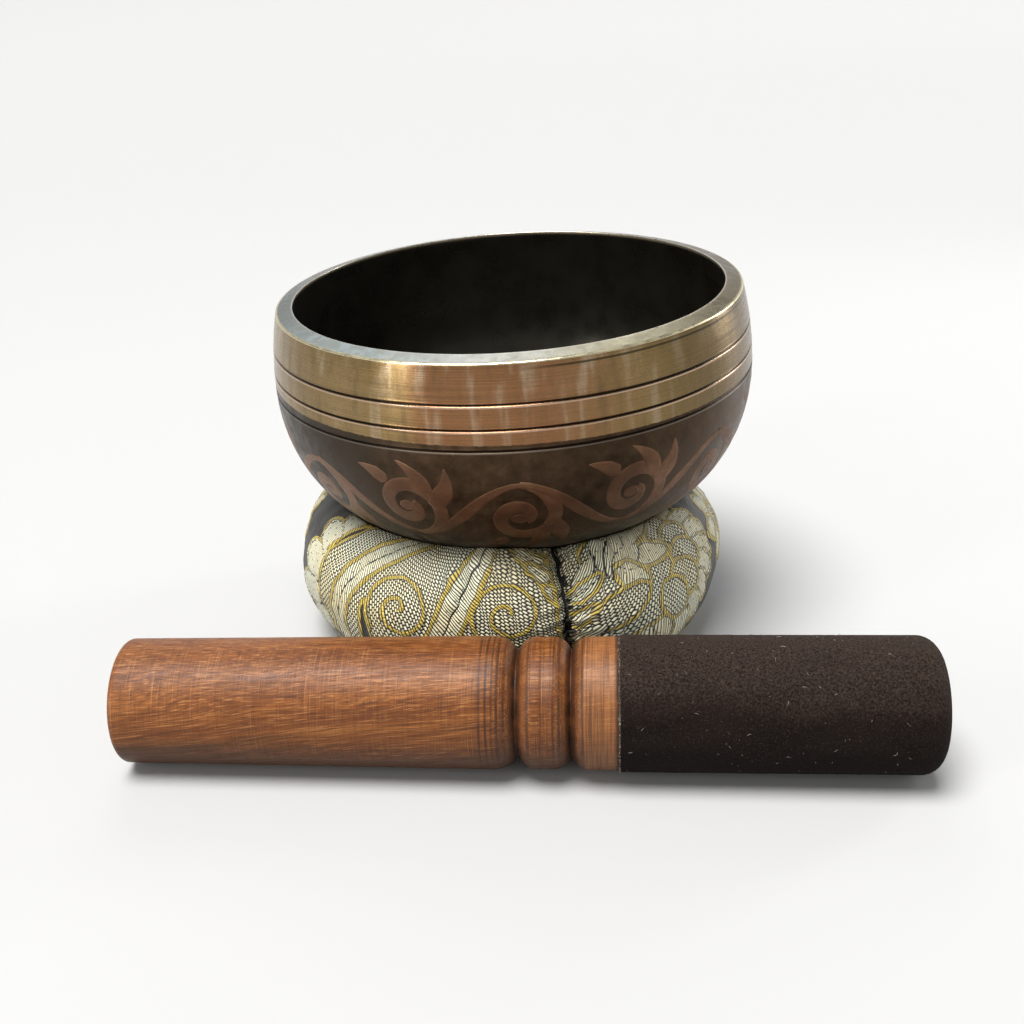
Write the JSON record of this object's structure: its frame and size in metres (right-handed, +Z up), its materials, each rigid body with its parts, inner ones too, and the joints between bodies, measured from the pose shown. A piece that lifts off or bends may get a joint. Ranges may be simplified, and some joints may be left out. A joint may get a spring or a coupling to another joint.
{
  "type": "singing bowl",
  "caption": "Small turned bronze singing bowl resting on a stuffed brocade ring cushion, with a turned wooden mallet with a suede-wrapped striking end lying in front.",
  "frame": {"origin": "centre of the ring cushion on the plane of the table that the cushion and the mallet lie on", "axes": "+Z up; +X to the right along the mallet, suede end on the right; +Y away from the mallet, through the bowl"},
  "size_m": [0.1768, 0.1571, 0.0932],
  "materials": {
    "bronze": "brushed bronze band and polished rim over a dark patinated underside and hollow",
    "brocade": "ivory and gold brocade on a black ground",
    "stuffing": "loose cotton wadding",
    "thread": "black sewing thread",
    "wood": "turned hardwood, thinly oiled",
    "suede": "dark brown suede nap"
  },
  "bodies": {
    "cushion": {"cushion_cover": "brocade", "cushion_stuffing": "stuffing", "cushion_joint_stitches": "thread", "cushion_closing_stitches": "thread"},
    "bowl": {"bowl": "bronze"},
    "mallet": {"mallet_stick": "wood", "mallet_suede_sleeve": "suede"}
  },
  "joints": [
    {"name": "bowl_lift", "type": "slide", "parent": "cushion", "child": "bowl", "axis": [0, 0, 1], "range_m": [0, 0.12]},
    {"name": "mallet_lift", "type": "slide", "parent": "cushion", "child": "mallet", "axis": [0, -0.5, 0.866], "range_m": [0, 0.12]}
  ]
}
